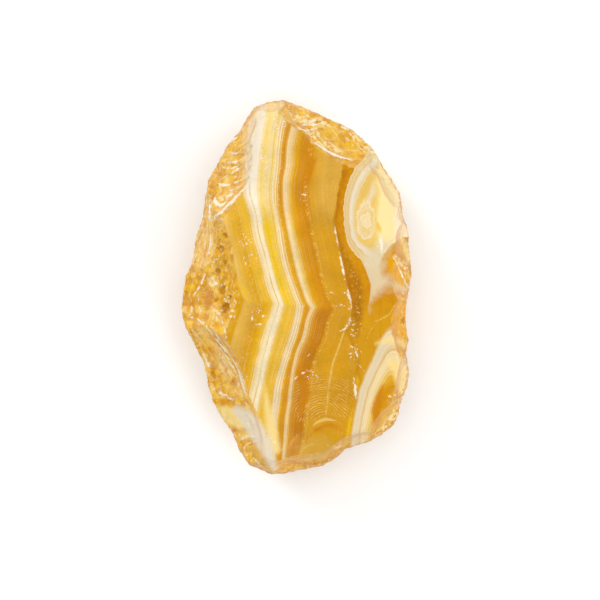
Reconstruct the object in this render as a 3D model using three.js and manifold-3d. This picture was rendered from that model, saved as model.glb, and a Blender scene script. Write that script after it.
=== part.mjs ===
// A hand specimen of raw banded onyx, broken on every side, lying with its banded face up.
// Millimetres. +X is to the right and +Y to the upper end of the banded face, and +Z is up out of it.
// The origin is on the surface that the stone rests on, below the middle of its outline.
import * as THREE from "three";
import { mergeVertices } from "three/addons/utils/BufferGeometryUtils.js";
import Module from "manifold-3d";

const wasm = await Module();
wasm.setup();

// Driving dimensions
const crownHeight = 18.6; // from the resting facet to the highest point of the banded face
const rimHeight = 8.6; // mean height of the sharp edge that runs round the stone
const rimWander = 1.1; // how far that edge climbs and falls
const restShare = 0.56; // size of the resting facet, as a share of the outline
const faceRoll = 0.0028; // how fast the banded face falls away towards its two ends, per mm
const faceLean = 0.0055; // how fast it falls away towards its right and left sides, per mm
const roughness = 0.1; // unevenness of the broken faces
const lidDepth = 16; // how much a cutter takes away above the surface that it leaves
const finestEdge = 0.03; // corners closer than this are one corner

// The outline from above, anticlockwise from the right side: each corner is where two breaks meet.
const outline = [
  [19.3, 4.8], [18.8, 7.6], [18.5, 10.1], [17.7, 11.8], [17.3, 15.3], [16.3, 17.2],
  [14.4, 20.0], [13.4, 22.1], [12.2, 23.6], [9.2, 26.3], [6.5, 27.6], [3.6, 28.9],
  [0.8, 30.2], [-2.3, 31.3], [-5.2, 30.9], [-7.2, 30.0], [-8.6, 28.0], [-9.5, 26.2],
  [-11.6, 23.8], [-13.2, 20.8], [-14.8, 18.0], [-15.4, 14.8], [-15.7, 11.6], [-16.9, 8.4],
  [-17.3, 5.2], [-18.6, 1.6], [-19.2, -1.6], [-19.3, -3.6], [-18.8, -6.4], [-17.2, -9.5],
  [-15.6, -12.9], [-15.1, -16.0], [-13.9, -19.5], [-12.6, -21.9], [-10.8, -24.3], [-9.8, -27.0],
  [-8.1, -29.7], [-6.0, -30.6], [-4.4, -31.3], [-2.4, -31.2], [0.6, -30.6], [4.5, -29.8],
  [6.7, -28.5], [8.0, -27.2], [12.3, -25.8], [14.5, -24.5], [16.2, -23.1], [17.1, -21.2],
  [17.4, -19.2], [18.4, -16.8], [18.8, -14.4], [18.3, -11.2], [18.6, -8.9], [18.1, -5.4],
  [18.4, -2.2], [19.0, 1.0],
];

// The blank's section from its lower to its upper middle: share of the outline, and height.
const section = [
  [0.28, 0], [restShare, 0], [0.8, 2.6], [0.93, 5.4], [1, rimHeight], [0.99, 11.2], [0.965, 13.8],
  [0.91, 16.3], [0.78, 18.2], [0.4, 19.6],
];
const sectionTop = 20;

// The lip where the banded face breaks down to its lower right part: x, y and the drop there.
const lip = [
  [8.6, 23.5, 0.1], [8.0, 20.3, 0.25], [6.9, 15.6, 0.35], [6.0, 10.8, 0.5], [6.5, 8.7, 0.65],
  [7.0, 6.2, 0.8], [7.7, 3.2, 1.0], [8.3, 0.3, 1.15], [8.8, -1.7, 1.2], [9.2, -3.5, 1.1],
  [8.8, -5.2, 0.9], [8.0, -6.8, 0.6], [8.8, -8.8, 0.55], [9.4, -10.6, 0.55], [10.0, -12.7, 0.5],
  [9.4, -14.6, 0.5], [9.3, -16.6, 0.45], [9.8, -18.9, 0.4], [9.3, -23.8, 0.25], [9.0, -28.5, 0.1],
];
const lipSteps = [0, 1.2, 3.4, 6.4, 10, 14]; // distances to the right of the lip
const lipReach = 12; // distance over which the drop dies away
const lipWall = 1; // height to which its wall is cut
const lipOverhang = 0.25; // how far the wall leans back over that height

// How finely a flake's bowl is divided
const spokes = 26;
const plainRing = 1.9; // from ring to ring where it has no ripples
const rippleOnset = 4; // ripples reach their full height this far from where the blow fell

// Deterministic unevenness of a broken face, between about -1 and 1.
function unevenness(x, y, z) {
  const broad = Math.sin(0.61 * x + 0.37 * y + 1.3) * Math.sin(0.43 * y - 0.52 * z + 0.4);
  const fine = Math.sin(1.73 * x - 1.19 * y + 2.1) * Math.sin(1.37 * y + 1.61 * z + 0.9);
  return 0.65 * broad + 0.35 * fine;
}

// Height of the banded face before the flakes came off its edges.
function faceHeight(x, y) {
  const towardsEnds = faceRoll * (y - 1) ** 2;
  const towardsRight = faceLean * Math.max(0, x - 2) ** 2;
  const towardsLeft = faceLean * Math.min(0, x + 6) ** 2;
  return crownHeight - 0.3 - towardsEnds - towardsRight - towardsLeft + 0.28 * unevenness(x, y, 0);
}

// A closed solid from a geometry: its corners are merged, and the triangles that this folds up are dropped.
function solidOf(geometry, tolerance = 1e-4) {
  const bare = geometry.clone();
  bare.deleteAttribute("normal");
  bare.deleteAttribute("uv");
  const merged = mergeVertices(bare, tolerance);
  const kept = [];
  for (let i = 0; i < merged.index.count; i += 3) {
    const [a, b, c] = merged.index.array.slice(i, i + 3);
    if (a !== b && b !== c && c !== a) kept.push(a, b, c);
  }
  const vertProperties = new Float32Array(merged.attributes.position.array);
  return new wasm.Manifold(new wasm.Mesh({ numProp: 3, vertProperties, triVerts: new Uint32Array(kept) }));
}

function geometryFrom(corners, triangles) {
  const geometry = new THREE.BufferGeometry();
  geometry.setAttribute("position", new THREE.Float32BufferAttribute(corners.flat(), 3));
  geometry.setIndex(triangles.flat());
  return geometry;
}

function geometryOf(solid) {
  const mesh = solid.getMesh();
  const geometry = new THREE.BufferGeometry();
  geometry.setAttribute("position", new THREE.BufferAttribute(mesh.vertProperties, 3));
  geometry.setIndex(new THREE.BufferAttribute(mesh.triVerts, 1));
  return geometry;
}

// The unbroken blank: the outline drawn in and out along the section, closed in the middle of both ends.
function blank() {
  const corners = [];
  const triangles = [];
  const count = outline.length;
  for (const [share, height] of section) {
    for (const [x, y] of outline) {
      const turn = Math.atan2(y, x);
      const wander = Math.sin(2 * turn + 0.6) + 0.5 * Math.sin(5 * turn + 2);
      const nearRim = Math.max(0, 1 - Math.abs(height - rimHeight) / rimHeight);
      corners.push([x * share, y * share, height + rimWander * wander * nearRim]);
    }
  }
  for (let ring = 0; ring < section.length - 1; ring += 1) {
    for (let i = 0; i < count; i += 1) {
      const next = (i + 1) % count;
      const [a, b] = [ring * count + i, ring * count + next];
      const [c, d] = [a + count, b + count];
      triangles.push([a, b, d], [a, d, c]);
    }
  }
  const lowest = corners.push([0, 0, 0]) - 1;
  const highest = corners.push([0, 0, sectionTop]) - 1;
  const lastRing = (section.length - 1) * count;
  for (let i = 0; i < count; i += 1) {
    const next = (i + 1) % count;
    triangles.push([lowest, next, i], [highest, lastRing + i, lastRing + next]);
  }
  return solidOf(geometryFrom(corners, triangles));
}

// A cutter between a lower sheet of corners, in rows, and the same sheet raised to a level lid.
function sheetCutter(rows, lid) {
  const corners = rows.flat().concat(rows.flat().map(([x, y]) => [x, y, lid]));
  const across = rows[0].length;
  const sheet = rows.length * across;
  const triangles = [];
  const quad = (a, b, c, d) => triangles.push([a, b, c], [a, c, d]);
  for (let r = 0; r < rows.length - 1; r += 1) {
    for (let c = 0; c < across - 1; c += 1) {
      const at = r * across + c;
      quad(at, at + 1, at + across + 1, at + across);
      quad(sheet + at, sheet + at + across, sheet + at + across + 1, sheet + at + 1);
    }
  }
  for (let c = 0; c < across - 1; c += 1) {
    const end = (rows.length - 1) * across + c;
    quad(c + 1, c, sheet + c, sheet + c + 1);
    quad(end, end + 1, sheet + end + 1, sheet + end);
  }
  for (let r = 0; r < rows.length - 1; r += 1) {
    const left = r * across;
    const right = left + across - 1;
    quad(left, left + across, sheet + left + across, sheet + left);
    quad(right + across, right, sheet + right, sheet + right + across);
  }
  return solidOf(geometryFrom(corners, triangles));
}

// What lay above the banded face.
function faceCutter() {
  const [halfWidth, halfLength, step] = [22, 34, 2]; // a grid that reaches past the outline
  const rows = [];
  for (let y = halfLength; y >= -halfLength; y -= step) {
    const row = [];
    for (let x = -halfWidth; x <= halfWidth; x += step) row.push([x, y, faceHeight(x, y)]);
    rows.push(row);
  }
  return sheetCutter(rows, crownHeight + lidDepth);
}

// The thin slab that broke away to the right of the lip.
function lipCutter() {
  const rows = lip.map(([x, y, drop]) => {
    const row = [[x - lipOverhang, y, faceHeight(x, y) + lipWall]];
    for (const away of lipSteps) {
      row.push([x + away, y, faceHeight(x + away, y) - drop * Math.exp(-away / lipReach)]);
    }
    return row;
  });
  return sheetCutter(rows, crownHeight + lidDepth);
}

// A flake: it leaves a bowl that runs from a high corner to a low one and dips between them.
// hollow is the radius of the bowl crosswise, struck is the point that its ripples run out from,
// lean tips the bowl sideways, and side is 1 on the banded face and -1 under the stone.
function flake({ high, low, dip, hollow, struck, ripple = 0, wave = 1.6, reach = 14, lean = 0, side = 1 }) {
  const top = new THREE.Vector3(...high);
  const foot = new THREE.Vector3(...low);
  const middle = top.clone().add(foot).multiplyScalar(0.5);
  const length = top.distanceTo(foot);
  const down = foot.clone().sub(top).normalize();
  const out = new THREE.Vector3(0, 0, side).addScaledVector(down, -side * down.z).normalize();
  out.applyAxisAngle(down, THREE.MathUtils.degToRad(lean));
  const cross = down.clone().cross(out);
  const lengthwise = length ** 2 / (8 * dip);
  const from = struck ? new THREE.Vector3(...struck).sub(middle) : foot.clone().sub(middle);
  const [startDown, startCross] = [from.dot(down), from.dot(cross)];

  const ringStep = ripple ? wave / 2 : plainRing;
  const profile = [];
  for (let r = 0; r <= reach; r += ringStep) {
    const crest = Math.round(r / ringStep) % 2 ? ripple : -ripple;
    profile.push(new THREE.Vector2(r, crest * Math.min(1, r / rippleOnset)));
  }
  profile.push(new THREE.Vector2(profile.at(-1).x, lidDepth), new THREE.Vector2(0, lidDepth));
  const disc = new THREE.LatheGeometry(profile, spokes);
  const place = disc.attributes.position;
  const corner = new THREE.Vector3();
  for (let i = 0; i < place.count; i += 1) {
    const along = startDown + place.getX(i);
    const aside = startCross + place.getZ(i);
    const bowl = along ** 2 / (2 * lengthwise) + aside ** 2 / (2 * hollow) - dip;
    corner.copy(middle).addScaledVector(down, along).addScaledVector(cross, aside);
    const grain = roughness * unevenness(corner.x, corner.y, corner.z);
    corner.addScaledVector(out, place.getY(i) + Math.min(bowl, lidDepth) + grain);
    place.setXYZ(i, corner.x, corner.y, corner.z);
  }
  return solidOf(disc);
}

// Flakes off the edges of the banded face, anticlockwise from the upper left.
const faceFlakes = [
  // the large rippled break at the upper left, and the narrow one above it
  { high: [-7.6, 19.5, 17.6], low: [-14.6, 21.0, 9.9], dip: 1.5, hollow: 13,
    struck: [-10.5, 32, 12], ripple: 0.13, wave: 1.5, reach: 24 },
  { high: [-6.9, 26.4, 16.4], low: [-9.8, 27.2, 9.8], dip: 0.5, hollow: 20, lean: 4 },
  // the left side: a sliver, the rough hollow, the fibrous break and the bulge
  { high: [-14.1, 11.4, 15.0], low: [-16.1, 12.0, 9.4], dip: 0.25, hollow: 10 },
  { high: [-10.4, 3.5, 17.8], low: [-15.4, 3.0, 13.6], dip: 0.7, hollow: 26 },
  { high: [-14.4, 3.4, 14.6], low: [-18.3, 5.0, 9.4], dip: 0.4, hollow: 15 },
  { high: [-12.4, -3.8, 17.0], low: [-18.9, -3.2, 9.8], dip: 0.6, hollow: 17, lean: 6 },
  // the lower left: the leaf-shaped break, a chip below it and the smooth one at the foot
  { high: [-11.6, -9.4, 16.8], low: [-16.4, -12.6, 9.4], dip: 1.0, hollow: 22, ripple: 0.05, wave: 2 },
  { high: [-14.0, -14.4, 12.6], low: [-15.6, -14.8, 8.9], dip: 0.2, hollow: 5, reach: 5 },
  { high: [-6.2, -22.4, 16.8], low: [-12.2, -24.4, 8.8], dip: 0.9, hollow: 26, ripple: 0.04, wave: 2.2 },
  // the lower end: a shallow shell-shaped break, the smooth one in front of it and the rough rim
  { high: [4.6, -13.2, 17.9], low: [5.0, -25.2, 15.9], dip: 0.55, hollow: 46,
    struck: [5.2, -26.5, 16], ripple: 0.05, wave: 1.5, reach: 15 },
  { high: [3.8, -22.8, 16.2], low: [3.6, -29.6, 14.4], dip: 0.35, hollow: 11 },
  { high: [2.8, -27.6, 14.6], low: [3.2, -30.4, 9.2], dip: 0.3, hollow: 26 },
  { high: [10.2, -24.4, 14.8], low: [10.8, -26.6, 9.6], dip: 0.3, hollow: 14 },
  // the right side, upwards
  { high: [13.6, -21.6, 14.8], low: [16.6, -24.0, 8.8], dip: 0.5, hollow: 18 },
  { high: [16.6, -15.2, 14.8], low: [18.9, -15.6, 9.0], dip: 0.3, hollow: 16 },
  { high: [15.9, -5.2, 15.6], low: [18.5, -5.6, 9.6], dip: 0.4, hollow: 8 },
  { high: [16.2, 3.4, 15.6], low: [19.8, 3.2, 10.2], dip: 0.4, hollow: 12, lean: 4 },
  { high: [17.0, 9.8, 14.6], low: [18.8, 9.2, 9.4], dip: 0.2, hollow: 8 },
  { high: [14.2, 16.6, 15.2], low: [16.6, 17.8, 9.6], dip: 0.3, hollow: 22 },
  { high: [11.0, 21.0, 15.4], low: [13.4, 22.8, 9.4], dip: 0.35, hollow: 20 },
  // the upper end: the long hollow break, the small rippled shell and the tip
  { high: [4.6, 21.8, 17.2], low: [8.6, 27.4, 9.6], dip: 1.0, hollow: 17, ripple: 0.05, wave: 1.8 },
  { high: [1.6, 25.4, 16.2], low: [3.2, 29.6, 9.4], dip: 0.8, hollow: 9,
    struck: [4.4, 30.5, 12], ripple: 0.08, wave: 1.1, reach: 9 },
  { high: [-3.6, 29.2, 14.6], low: [-4.0, 31.3, 9.6], dip: 0.2, hollow: 14 },
];

// Flakes off the underside, from the resting facet out to the edge.
const underFlakes = [
  { high: [17.8, 6.0, 8.0], low: [9.4, 3.0, 0.2], dip: 0.9, hollow: 26 },
  { high: [11.8, 23.0, 8.0], low: [6.0, 13.0, 0.4], dip: 1.2, hollow: 22 },
  { high: [-6.0, 29.4, 8.2], low: [-3.0, 17.0, 0.2], dip: 1.1, hollow: 24 },
  { high: [-15.0, 13.0, 8.0], low: [-7.4, 7.4, 0.3], dip: 0.8, hollow: 28 },
  { high: [-18.2, -4.0, 7.6], low: [-9.0, -4.0, 0.2], dip: 1.1, hollow: 20 },
  { high: [-13.0, -20.0, 7.8], low: [-6.6, -12.0, 0.4], dip: 1.0, hollow: 26 },
  { high: [0.0, -30.0, 7.8], low: [0.0, -17.6, 0.2], dip: 1.2, hollow: 20 },
  { high: [15.8, -20.0, 7.6], low: [7.6, -12.0, 0.3], dip: 0.9, hollow: 30 },
];

// Small holes left by grains that fell out: in the rough hollow at the left, and in the right edge.
const pits = [
  { at: [-12.0, -3.5, 16.3], radius: 0.95 }, { at: [-12.5, -0.5, 15.4], radius: 0.8 },
  { at: [-11.3, -1.8, 16.7], radius: 0.6 }, { at: [-13.3, 2.5, 14.7], radius: 0.7 },
  { at: [-12.8, 6.2, 15.7], radius: 0.8 }, { at: [-11.9, 8.4, 17.2], radius: 0.6 },
  { at: [-13.7, -2.2, 14.9], radius: 0.6 }, { at: [-12.0, 3.9, 15.9], radius: 0.5 },
  { at: [18.2, -5.5, 10.6], radius: 0.8 }, { at: [18.6, -9.2, 10.6], radius: 0.7 },
];

function pit({ at, radius }) {
  const hole = new THREE.IcosahedronGeometry(radius, 1);
  hole.translate(...at);
  return solidOf(hole);
}

function onyxStone() {
  const cutters = [faceCutter(), lipCutter()];
  for (const shape of faceFlakes) cutters.push(flake(shape));
  for (const shape of underFlakes) cutters.push(flake({ ...shape, side: -1 }));
  for (const shape of pits) cutters.push(pit(shape));
  const broken = cutters.reduce((stone, cutter) => stone.subtract(cutter), blank());
  return solidOf(geometryOf(broken), finestEdge);
}

const onyx = new THREE.MeshStandardMaterial({ color: 0xdba02c, roughness: 0.35, metalness: 0 });
const stone = new THREE.Mesh(geometryOf(onyxStone()), onyx);
stone.name = "onyx_stone";

const specimen = new THREE.Group();
specimen.add(stone);

export default specimen;
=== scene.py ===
import math

import bpy
import numpy as np
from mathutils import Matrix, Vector, noise
from mathutils.bvhtree import BVHTree


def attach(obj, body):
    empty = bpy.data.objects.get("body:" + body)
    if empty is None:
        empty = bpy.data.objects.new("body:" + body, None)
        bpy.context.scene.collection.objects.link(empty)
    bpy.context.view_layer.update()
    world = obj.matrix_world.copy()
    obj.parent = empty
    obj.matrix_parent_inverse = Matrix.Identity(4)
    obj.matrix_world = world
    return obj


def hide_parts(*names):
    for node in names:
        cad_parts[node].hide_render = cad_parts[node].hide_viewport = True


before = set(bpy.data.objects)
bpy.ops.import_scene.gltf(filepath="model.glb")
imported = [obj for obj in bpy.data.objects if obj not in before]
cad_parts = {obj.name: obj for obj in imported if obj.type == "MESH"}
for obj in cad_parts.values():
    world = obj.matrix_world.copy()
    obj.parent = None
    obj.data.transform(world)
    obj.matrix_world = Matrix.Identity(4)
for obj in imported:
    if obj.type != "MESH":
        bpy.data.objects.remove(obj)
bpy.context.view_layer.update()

MM = 0.001  # metres in a millimetre

# The view of the photograph: straight down on the banded face
CAMERA_HEIGHT = 910.0
CAMERA_OVER = (0.5, -2.17)
VIEW_WIDTH = 100.0  # how much the picture shows across, at the level of the stone's outline
OUTLINE_LEVEL = 10.0
SENSOR_WIDTH = 36.0

EXPOSURE_ROOM = 0.83  # the light is this much stronger than the stone's colours need, for a white floor
GLOSS_VEIL = 0.014  # white that the gloss adds to every colour

# The skin
SKIN_STEP = 0.275  # distance between its points
CREST_RISE = 0.12  # how far a white crest stands out
UNEVENNESS = 0.02
RIDGE_CHIP_DEPTH = 0.22  # how deep the edges between flakes are chipped
RIM_CHIP_DEPTH = 0.16
OUT_OF_REACH = -9.0  # height over a flake's bowl where it doesn't reach
SEAT_CLEARANCE = 0.3  # nothing is roughened closer to the floor than this

# The banded face, as the CAD model has it
CROWN_HEIGHT = 18.6
RIM_HEIGHT = 8.6
FACE_ROLL = 0.0028
FACE_LEAN = 0.0055

# The outline from above, anticlockwise from the right side
OUTLINE = [
    (19.3, 4.8), (18.8, 7.6), (18.5, 10.1), (17.7, 11.8), (17.3, 15.3), (16.3, 17.2),
    (14.4, 20.0), (13.4, 22.1), (12.2, 23.6), (9.2, 26.3), (6.5, 27.6), (3.6, 28.9),
    (0.8, 30.2), (-2.3, 31.3), (-5.2, 30.9), (-7.2, 30.0), (-8.6, 28.0), (-9.5, 26.2),
    (-11.6, 23.8), (-13.2, 20.8), (-14.8, 18.0), (-15.4, 14.8), (-15.7, 11.6), (-16.9, 8.4),
    (-17.3, 5.2), (-18.6, 1.6), (-19.2, -1.6), (-19.3, -3.6), (-18.8, -6.4), (-17.2, -9.5),
    (-15.6, -12.9), (-15.1, -16.0), (-13.9, -19.5), (-12.6, -21.9), (-10.8, -24.3), (-9.8, -27.0),
    (-8.1, -29.7), (-6.0, -30.6), (-4.4, -31.3), (-2.4, -31.2), (0.6, -30.6), (4.5, -29.8),
    (6.7, -28.5), (8.0, -27.2), (12.3, -25.8), (14.5, -24.5), (16.2, -23.1), (17.1, -21.2),
    (17.4, -19.2), (18.4, -16.8), (18.8, -14.4), (18.3, -11.2), (18.6, -8.9), (18.1, -5.4),
    (18.4, -2.2), (19.0, 1.0),
]

# How each sort of break looks: height and spacing of its ripples, height of its radial lines,
# height of its grain, how frosted it is and how much plain amber covers the bands there
LOOK_PARTS = ("ripple", "wave", "lines", "grain", "frost", "amber")
RIPPLED = (0.06, 0.8, 0.06, 0.03, 0.45, 0.9)
SHELL = (0.0, 1.9, 0.0, 0.01, 0.0, 0.0)
FIBROUS = (0.0, 1.9, 0.12, 0.04, 1.0, 0.9)
LEAF = (0.0, 1.9, 0.08, 0.04, 0.6, 0.9)
SMOOTH = (0.04, 2.2, 0.02, 0.02, 0.25, 0.6)
ROUGH = (0.02, 1.4, 0.05, 0.1, 0.28, 0.9)
UNDER = (0.07, 1.9, 0.05, 0.07, 0.35, 0.3)
FOOT = (0.02, 2.6, 0.0, 0.012, 0.0, 0.9)
CALM = (0.02, 2.6, 0.0, 0.012, 0.0, 0.2)
CHIPPED = (0.02, 1.4, 0.05, 0.09, 0.1, 0.9)
EDGE = (0.03, 1.4, 0.03, 0.07, 0.14, 0.0)


def flake(high, low, dip, hollow, look=UNDER, struck=None, reach=14, lean=0):
    """A flake that came off: the ends of its bowl, its depth, its radius across, and where the blow fell."""
    return dict(high=high, low=low, dip=dip, hollow=hollow, look=look, struck=struck or low,
                reach=reach, lean=math.radians(lean))


# The flakes round the upper side and the underside, as the CAD model has them
FLAKES = [
    flake((-7.6, 19.5, 17.6), (-14.6, 21.0, 9.9), 1.5, 13, RIPPLED, struck=(-10.5, 32, 12), reach=24),
    flake((-6.9, 26.4, 16.4), (-9.8, 27.2, 9.8), 0.5, 20, SMOOTH, lean=4),
    flake((-14.1, 11.4, 15.0), (-16.1, 12.0, 9.4), 0.25, 10, FIBROUS, struck=(-15.2, 16.5, 12)),
    flake((-10.4, 3.5, 17.8), (-15.4, 3.0, 13.6), 0.7, 26, ROUGH),
    flake((-14.4, 3.4, 14.6), (-18.3, 5.0, 9.4), 0.4, 15, FIBROUS, struck=(-14.6, 11.5, 12), reach=18),
    flake((-12.4, -3.8, 17.0), (-18.9, -3.2, 9.8), 0.6, 17, ROUGH, lean=6),
    flake((-11.6, -9.4, 16.8), (-16.4, -12.6, 9.4), 1.0, 22, LEAF, struck=(-18.6, -3.4, 12), reach=20),
    flake((-14.0, -14.4, 12.6), (-15.6, -14.8, 8.9), 0.2, 5, ROUGH, reach=5),
    flake((-6.2, -22.4, 16.8), (-12.2, -24.4, 8.8), 0.9, 26, FOOT),
    flake((4.6, -13.2, 17.9), (5.0, -25.2, 15.9), 0.55, 46, SHELL, struck=(5.2, -26.5, 16), reach=15),
    flake((3.8, -22.8, 16.2), (3.6, -29.6, 14.4), 0.35, 11, CALM),
    flake((2.8, -27.6, 14.6), (3.2, -30.4, 9.2), 0.3, 26, ROUGH),
    flake((10.2, -24.4, 14.8), (10.8, -26.6, 9.6), 0.3, 14, EDGE),
    flake((13.6, -21.6, 14.8), (16.6, -24.0, 8.8), 0.5, 18, EDGE),
    flake((16.6, -15.2, 14.8), (18.9, -15.6, 9.0), 0.3, 16, EDGE),
    flake((15.9, -5.2, 15.6), (18.5, -5.6, 9.6), 0.4, 8, CHIPPED),
    flake((16.2, 3.4, 15.6), (19.8, 3.2, 10.2), 0.4, 12, CHIPPED, lean=4),
    flake((17.0, 9.8, 14.6), (18.8, 9.2, 9.4), 0.2, 8, EDGE),
    flake((14.2, 16.6, 15.2), (16.6, 17.8, 9.6), 0.3, 22, EDGE),
    flake((11.0, 21.0, 15.4), (13.4, 22.8, 9.4), 0.35, 20, EDGE),
    flake((4.6, 21.8, 17.2), (8.6, 27.4, 9.6), 1.0, 17, SMOOTH),
    flake((1.6, 25.4, 16.2), (3.2, 29.6, 9.4), 0.8, 9, RIPPLED, struck=(3.4, 32.0, 12), reach=11),
    flake((-3.6, 29.2, 14.6), (-4.0, 31.3, 9.6), 0.2, 14, EDGE),
]
UNDER_FLAKES = [
    flake((17.8, 6.0, 8.0), (9.4, 3.0, 0.2), 0.9, 26),
    flake((11.8, 23.0, 8.0), (6.0, 13.0, 0.4), 1.2, 22),
    flake((-6.0, 29.4, 8.2), (-3.0, 17.0, 0.2), 1.1, 24),
    flake((-15.0, 13.0, 8.0), (-7.4, 7.4, 0.3), 0.8, 28),
    flake((-18.2, -4.0, 7.6), (-9.0, -4.0, 0.2), 1.1, 20),
    flake((-13.0, -20.0, 7.8), (-6.6, -12.0, 0.4), 1.0, 26),
    flake((0.0, -30.0, 7.8), (0.0, -17.6, 0.2), 1.2, 20),
    flake((15.8, -20.0, 7.6), (7.6, -12.0, 0.3), 0.9, 30),
]

# Three guide lines of the bands. Each point is a height over the line on which all bands bend,
# and the guide's x there: the left cream band, the pair of thin white lines and the right white band.
BEND_AT = -3.1
BEND_SLOPE = -0.1
LEFT_GUIDE = [
    (33.0, -5.7), (30.5, -6.2), (25.5, -7.2), (19.7, -7.7), (17.2, -7.5), (13.8, -6.5), (12.2, -6.3),
    (7.2, -5.0), (2.2, -3.7), (0.0, -2.8), (-2.8, -3.7), (-6.2, -4.7), (-9.6, -5.5), (-13.0, -6.2),
    (-16.4, -6.9), (-19.8, -7.7), (-22.8, -8.8),
]
PAIR_GUIDE = [
    (34.0, -1.2), (30.7, -2.3), (22.3, -3.3), (17.3, -3.7), (12.3, -3.0), (7.3, -2.2), (2.3, -0.5),
    (0.0, 0.4), (-2.7, 0.0), (-7.7, -1.5), (-12.7, -3.0), (-17.7, -3.7), (-22.7, -4.3),
]
RIGHT_GUIDE = [
    (30.5, -0.3), (26.3, -1.3), (23.0, -1.5), (20.5, -2.0), (18.0, -2.0), (13.0, -1.2), (8.0, 0.0),
    (3.0, 1.3), (0.8, 2.2), (0.0, 2.7), (-2.0, 1.8), (-5.3, 1.0), (-7.0, 0.3), (-12.0, -0.8),
    (-15.3, -1.1), (-17.0, -1.3), (-22.0, -1.9), (-25.3, -2.2),
]
PAIR_PLACE = 4.0  # band coordinate of the thin pair, when the left cream band has 0
RIGHT_PLACE = 7.0  # and of the right white band
RIGHT_NARROWS = 0.4  # how much narrower that band is below the bend
BAND_LEAN = 0.22  # how far the bands shift sideways for each millimetre down into the stone

# The edge where the tan bands end on the right: a change of colour above, and the broken lip below
TAN_EDGE = [
    (8.2, 27.8), (7.8, 21.5), (7.3, 18.7), (6.8, 16.2), (6.5, 13.7), (6.2, 10.8), (6.5, 8.7), (7.0, 6.2),
    (7.7, 3.2), (8.3, 0.3), (8.8, -1.7), (9.2, -3.5), (8.8, -5.2), (8.0, -6.8), (8.7, -8.8), (9.3, -10.5),
    (10.2, -12.7), (9.5, -14.2), (9.3, -16.3), (9.8, -18.8), (9.2, -21.3), (8.5, -23.8), (7.8, -26.3),
    (7.2, -30.5),
]
LIP_DROPS = [(-28.5, 0.1), (-18.9, 0.4), (-6.8, 0.6), (-3.5, 1.1), (0.3, 1.15), (10.8, 0.5), (23.5, 0.1)]
LIP_REACH = 12.0  # distance to the right over which the drop at the lip dies away

# The round eye at the upper right. Its border runs from the rim round its left side into the vein below it
EYE_BORDER = [
    (12.0, 24.0), (10.8, 21.4), (9.5, 19.7), (8.5, 17.6), (7.9, 15.3), (7.6, 12.8), (7.7, 10.3), (8.1, 7.8),
    (9.0, 6.0), (10.5, 4.3), (11.6, 3.4),
]
EYE_CLOSING = [(13.2, 3.0), (14.0, 4.6), (14.9, 6.2), (17.0, 8.0), (24.0, 9.5), (24.0, 24.0)]
CORE_MIDDLE = (11.4, 10.9)
CORE_ACROSS = 1.45
CORE_UP = 3.0
EYE_LEAN = 0.08  # how far an eye's border closes in for each millimetre down into the stone

# The folded eye at the lower right: its left and upper borders
FOLD_LEFT = [
    (15.4, -5.6), (14.4, -7.9), (13.6, -9.7), (12.6, -11.9), (11.5, -14.4), (10.5, -16.9), (9.7, -20.8),
    (9.0, -24.9), (8.6, -26.9), (8.2, -29.0),
]
FOLD_TOP = [(13.0, -6.2), (15.0, -6.5), (16.5, -7.2), (18.5, -8.6), (22.0, -10.5)]
FOLD_STRETCH = 0.36  # its rings are wider towards the top by this share
FOLD_CORNER = 0.45  # how softly they turn there

# Fine arcs of the shell break at the lower end, in two families on either side of a thin vein. They are
# painted light and shade for its fine ripples, which the skin doesn't raise.
SHELL_VEIN = 5.2
SHELL_LEFT = (5.0, -24.5)
SHELL_RIGHT = (2.5, -25.0)
SHELL_SPACING = 0.42
SHELL_PATCHES = [
    [(0.0, -15.6), (5.2, -15.4), (5.2, -19.9), (4.4, -21.4), (0.6, -22.8), (-0.6, -20.0)],
    [(5.2, -14.2), (8.4, -15.6), (9.2, -18.6), (8.8, -22.0), (5.2, -21.0)],
]

# The sharp left edge of the pale flank below the eye
FLANK_EDGE = [(10.4, 4.8), (11.4, 2.7), (12.2, 0.4), (12.1, -1.4), (11.7, -3.4)]

# Marks on the stone: paths with half widths along them, and patches with corners
PALE_PATHS = [
    ([(-5.5, 30.8), (-7.0, 26.5), (-7.5, 22.0), (-8.2, 16.5)], (0.6, 1.0, 1.1, 0.5)),
    ([(-9.8, -20.6), (-8.4, -21.6), (-7.0, -23.4), (-5.4, -26.2), (-3.8, -30.0)],
     (0.9, 1.5, 1.4, 1.0, 0.6)),
    ([(11.8, 14.3), (12.4, 15.4), (12.7, 17.4)], (0.3, 0.4, 0.1)),
]
FLANK_PATCHES = [
    [(9.6, 4.4), (10.6, 2.6), (11.6, -1.4), (11.8, -3.6), (12.6, -1.8), (13.8, -0.6), (15.0, 0.0),
     (18.6, -1.2), (18.8, 0.2), (16.4, 0.9), (14.6, 2.4), (14.2, 4.6), (16.6, 8.2), (14.0, 7.4)],
]
BUTTER_PATHS = [
    ([(-5.4, -15.0), (-5.0, -19.5), (-4.2, -23.5), (-3.4, -27.0)], (-0.2, 0.5, 0.9, 0.7)),
    ([(15.4, -12.4), (17.0, -14.0), (17.6, -17.2)], (0.6, 1.2, 0.8)),
    ([(17.2, 8.2), (18.0, 6.6), (18.7, 4.6)], (0.5, 0.7, 0.5)),
    ([(-12.9, -20.8), (-11.0, -21.6), (-9.6, -22.6)], (1.1, 1.6, 1.1)),
    ([(-9.4, -24.9), (-7.4, -24.6)], (0.3, 0.5)),
    ([(13.2, -9.4), (15.5, -8.6), (18.4, -9.8)], (0.2, 0.6, 0.5)),
]
TAN_PATCHES = [
    [(0.2, -27.4), (0.9, -26.2), (2.2, -25.1), (4.0, -24.4), (5.6, -25.0), (6.6, -26.2), (6.2, -27.4),
     (4.1, -29.2), (1.5, -29.0)],
    [(-8.4, -26.6), (-5.8, -26.2), (-4.4, -29.6), (-6.2, -30.2)],
]
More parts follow.
